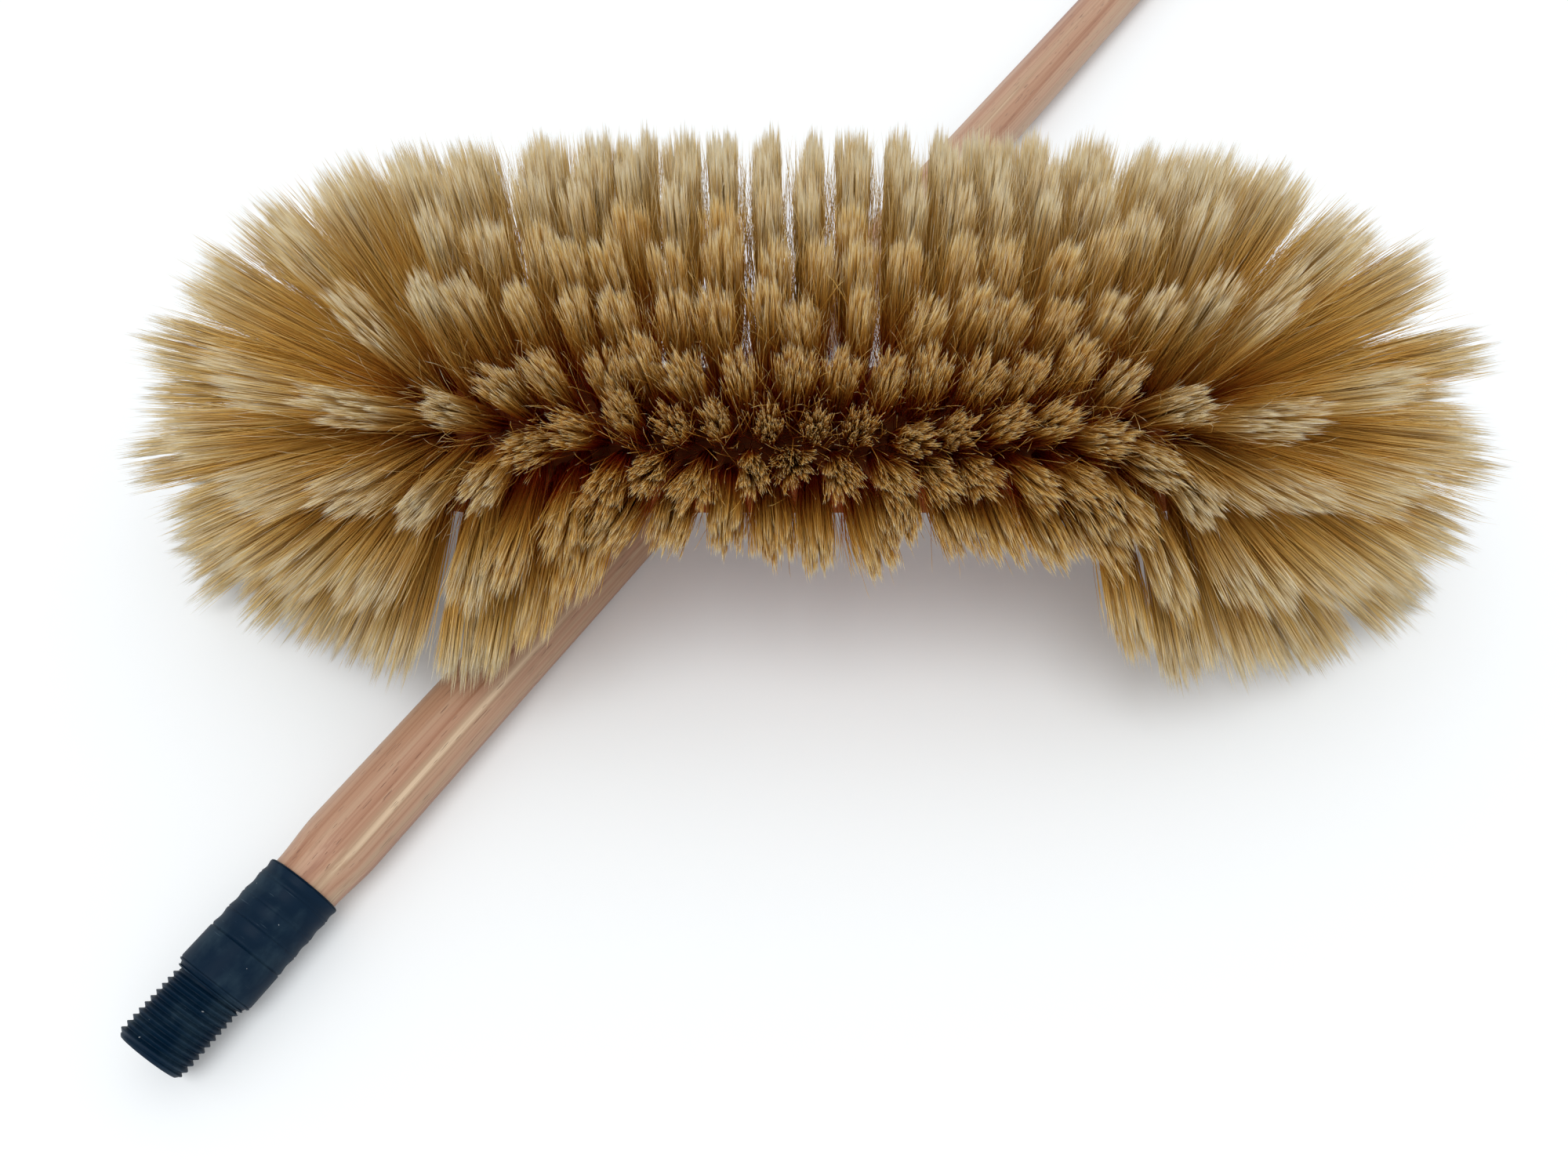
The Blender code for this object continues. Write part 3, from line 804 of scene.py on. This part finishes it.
def tuft_forms(row, holes, ways):
    """Each tuft's width at the tip, as a share of the gap between tips, its flare and the power of its
    painted root shade, and how far its middle stands out, how unevenly it is cut, its longest hair and how
    loosely it splays.
    """
    near = ways[:, 1] < 0
    corner = corner_share(holes[:, 0], 1, row)
    forms = []
    for near_value, far_value, corner_value in (
        (NEAR_TIP_WIDTH_SHARES[row], FAR_TIP_WIDTH_SHARES[row], CORNER_TIP_WIDTH_SHARES[row]),
        (NEAR_FLARE_SHARES[row], FLARE_SHARE, FLARE_SHARE),
        (NEAR_PAINTED_SHADE_POWERS[row], 1, CORNER_PAINTED_SHADE_POWER),
        (NEAR_DOME_SHARE, DOME_SHARE, DOME_SHARE),
        (NEAR_CUT_SHARE, CUT_SHARE, CUT_SHARE),
        (NEAR_LENGTH_SHARE, LENGTH_SHARES[row], LENGTH_SHARES[row]),
        (NEAR_SPLAY_SHARE, SPLAY_SHARE, SPLAY_SHARE),
    ):
        straight_value = np.where(near, near_value, far_value)
        forms.append((straight_value + (corner_value - straight_value) * corner)[:, None, None])
    return forms


def hair_paths(random, row, holes, tips):
    """The middle lines of all hairs in a row: (hairs, stations, 3).

    Also how thick each hair is and how high the painted shade of its root climbs.
    """
    shape = (len(holes), HAIRS_PER_TUFT, 1)
    gap = np.gradient(tips, axis=0)
    length = np.linalg.norm(tips - holes, axis=-1)[:, None, None]
    ways = unit(tips + random.normal(0, TUFT_WANDER, tips.shape) - holes)
    across, upward = [v[:, None] for v in square_to(ways, gap)]
    width_share, flare, painted_shade_power, dome, uneven, longest, splay = tuft_forms(row, holes, ways)
    half_width = np.linalg.norm(gap, axis=-1).clip(0, WIDEST_TIP_GAP)[:, None, None] * width_share
    half_width = half_width * (1 + TUFT_WIDTH_LUCK_SHARE * random.uniform(-1, 1, half_width.shape))
    spots = scatter(random, shape[:2])
    ends, length_share = draw_together(random, spots)
    ends = ends * (1 + splay * random.normal(0, 1, shape))
    aside = (across * spots[..., :1] + upward * spots[..., 1:]) * BUNDLE_RADIUS
    aside_end = across * ends[..., :1] * half_width + upward * ends[..., 1:] * TIP_HALF_DEPTHS[row]
    root = holes[:, None] - ways[:, None] * BUNDLE_DEPTH + aside
    stray = random.random(shape) < STRAY_SHARES[row]
    curl = np.where(stray, STRAY_CURL_SHARES[row], CURL_SHARE) * length
    tip = holes[:, None] + ways[:, None] * length + aside_end
    tip = tip + np.where(stray, random.normal(0, 1, tip.shape) * curl, 0)
    length_share = length_share * (1 - dome * (spots**2).sum(-1, keepdims=True))
    cut = length * longest * length_share * (1 - uneven * random.random(shape) ** 2)
    tip = holes[:, None] + unit(tip - holes[:, None]) * cut
    bow = random.normal(0, 1, tip.shape) * curl
    middle = (root + tip) / 2 + (aside_end - aside) * flare / 2 + bow
    t = np.array(HAIR_STATIONS)[:, None]
    root, middle, tip = [p.reshape(-1, 1, 3) for p in (root, middle, tip)]
    thickness = np.where(stray, STRAY_THICKNESS_SHARE, 1).ravel()
    painted_shade_power = np.broadcast_to(painted_shade_power, shape).ravel()
    return root * (1 - t) ** 2 + middle * 2 * t * (1 - t) + tip * t**2, thickness, painted_shade_power


def rest_on_things(paths):
    """Lifts hairs off the stick, and keeps them above the floor."""
    to_head = HEAD_FRAME.inverted()
    start = np.array(to_head @ STICK_FRAME.translation)
    way = np.array((to_head.to_3x3() @ Vector((1, 0, 0))).normalized())
    offset = paths - start
    across = offset - (offset @ way)[..., None] * way
    distance = np.linalg.norm(across, axis=-1, keepdims=True)
    clear = STICK_RADIUS + 2 * HAIR_RADIUS
    moved = paths + across / distance * np.clip(clear - distance, 0, None)
    moved[..., 2] = np.maximum(moved[..., 2], FLOOR_GAP)
    return moved


def hair_template():
    """Corner numbers, face starts and map spots of one hair: rings of corners, then its tip."""
    rings = len(HAIR_STATIONS) - 1
    apex = rings * HAIR_SIDES
    width = np.array([0, 0.5, 1])
    corners, spots, starts = [], [], []

    def add(face, places):
        starts.append(len(corners))
        corners.extend(face)
        spots.extend(places)

    for side in range(HAIR_SIDES):
        after = (side + 1) % HAIR_SIDES
        for ring in range(rings - 1):
            low, high = ring * HAIR_SIDES, (ring + 1) * HAIR_SIDES
            v_low, v_high = HAIR_STATIONS[ring], HAIR_STATIONS[ring + 1]
            add(
                (low + side, low + after, high + after, high + side),
                ((width[side], v_low), (width[after], v_low), (width[after], v_high), (width[side], v_high)),
            )
        low, v_low = (rings - 1) * HAIR_SIDES, HAIR_STATIONS[rings - 1]
        add(
            (low + side, low + after, apex),
            ((width[side], v_low), (width[after], v_low), (0.5, 1)),
        )
    add((2, 1, 0), ((1, 0), (0.5, 0.02), (0, 0)))
    return np.array(corners), np.array(starts), np.array(spots)


def hair_mesh(name, random, paths, thickness, painted_shade_power):
    """Thin closed hairs, three-sided and pointed, round their middle lines."""
    count, rings = len(paths), len(HAIR_STATIONS) - 1
    first, second = square_to(unit(paths[:, -1] - paths[:, 0]), np.array(HAIR_LEANING))
    turn = 2 * math.pi * (random.random(count)[:, None] + np.arange(HAIR_SIDES) / HAIR_SIDES)
    ring = first[:, None] * np.cos(turn)[..., None] + second[:, None] * np.sin(turn)[..., None]
    thick = HAIR_RADIUS * np.array(HAIR_THICKNESS_SHARES)[:, None, None]
    luck = THINNEST_HAIR_SHARE + HAIR_LUCK_SHARE * random.random(count)
    thick = thick * (thickness * luck)[:, None, None, None]
    walls = paths[:, :-1, None] + ring[:, None] * thick
    corners_of_hair = rings * HAIR_SIDES + 1
    places = np.concatenate([walls.reshape(count, -1, 3), paths[:, -1:]], 1)
    corners, starts, spots = hair_template()
    step = np.arange(count)[:, None]
    column = TONE_MARGIN_SHARE + (1 - 2 * TONE_MARGIN_SHARE) * spots[:, 0]
    tone = (random.integers(0, HAIR_TONES, count)[:, None] + column) / HAIR_TONES
    mesh = bpy.data.meshes.new(name)
    mesh.vertices.add(count * corners_of_hair)
    mesh.vertices.foreach_set("co", places.astype(np.float32).ravel())
    mesh.loops.add(count * len(corners))
    mesh.loops.foreach_set("vertex_index", (corners + step * corners_of_hair).astype(np.int32).ravel())
    mesh.polygons.add(count * len(starts))
    mesh.polygons.foreach_set("loop_start", (starts + step * len(corners)).astype(np.int32).ravel())
    mesh.update(calc_edges=True)
    # The power makes the dark root climb higher along the hair: painted shade.
    along = spots[:, 1] ** painted_shade_power[:, None]
    spots_on_map = np.stack([tone, along], -1).astype(np.float32).ravel()
    for layer_name in (HAIR_MAP, KEPT_MAP):
        mesh.uv_layers.new(name=layer_name).data.foreach_set("uv", spots_on_map)
    mesh.uv_layers[HAIR_MAP].active_render = True
    return mesh


def make_hair(groups, material):
    for number, (node, holes, tips) in enumerate(groups):
        random = np.random.default_rng(number)
        row = int(node[-1]) if node[-1].isdigit() else 0
        paths, thickness, painted_shade_power = hair_paths(random, row, holes, tips)
        name = node.replace("tufts", "hair")
        mesh = hair_mesh(name, random, rest_on_things(paths), thickness, painted_shade_power)
        piece = show(name, mesh, material, HEAD_FRAME)
        settle(piece, "head", "natural_hair", node)


# Stage


def make_floor():
    """A pale floor that the camera sees a little lighter, so that it fades to white."""
    finish = Finish("floor_paint", Base_Color=(*FLOOR_COLOUR, 1), Roughness=0.9, Specular_IOR_Level=0)
    glow = finish.node("ShaderNodeEmission", None, {"Strength": finish.seen() * FLOOR_GLOW})
    paint = Shade(finish, finish.shader.outputs["BSDF"])
    both = finish.node("ShaderNodeAddShader", None, {0: paint, 1: glow})
    finish.feed(finish.tree.nodes["Material Output"], {"Surface": both})
    half = FLOOR_SIZE / 2
    corners = [(-half, -half, 0), (half, -half, 0), (half, half, 0), (-half, half, 0)]
    mesh = bpy.data.meshes.new("floor")
    mesh.from_pydata(corners, [], [range(4)])
    show("floor", mesh, finish.material, Matrix.Identity(4))


def make_sky():
    """An even soft sky that the camera and glossy surfaces see as white."""
    world = bpy.data.worlds.new("studio")
    world.use_nodes = True
    sky = Nodes(world.node_tree)
    strength = SKY_STRENGTH + sky.seen() * (1 - SKY_STRENGTH)
    sky.feed(world.node_tree.nodes["Background"], {"Color": (1, 1, 1, 1), "Strength": strength})
    bpy.context.scene.world = world


def make_key_light():
    light = bpy.data.lights.new("key", "SUN")
    light.energy = KEY_STRENGTH
    light.angle = KEY_SPREAD
    lamp = bpy.data.objects.new("key", light)
    came_from = Matrix.Rotation(HEAD_TURN, 3, "Z") @ Vector(KEY_FROM)
    lamp.rotation_euler = came_from.to_track_quat("Z", "Y").to_euler()
    bpy.context.scene.collection.objects.link(lamp)


def make_camera():
    camera = bpy.data.cameras.new("camera")
    camera.sensor_fit = "HORIZONTAL"
    camera.sensor_width = SENSOR_WIDTH
    camera.lens = CAMERA_LENS
    camera.clip_start = 0.01
    mount = bpy.data.objects.new("camera", camera)
    mount.location = HEAD_FRAME @ Vector((-CAMERA_LEFT_OF_HEAD, -CAMERA_BEFORE_HEAD, CAMERA_HEIGHT))
    mount.rotation_euler = (math.pi / 2 - CAMERA_DOWN, 0, HEAD_TURN)
    bpy.context.scene.collection.objects.link(mount)
    bpy.context.scene.camera = mount


def make_scene():
    bpy.context.scene.view_settings.view_transform = "Standard"
    make_camera()
    make_sky()
    make_key_light()
    make_floor()
    groups = all_tufts()
    make_stick(stick_finish())
    make_ferrule(plastic_finish())
    make_block(block_finish(), [pair for _, holes, tips in groups for pair in zip(holes, tips)])
    make_hair(groups, hair_finish())


make_scene()
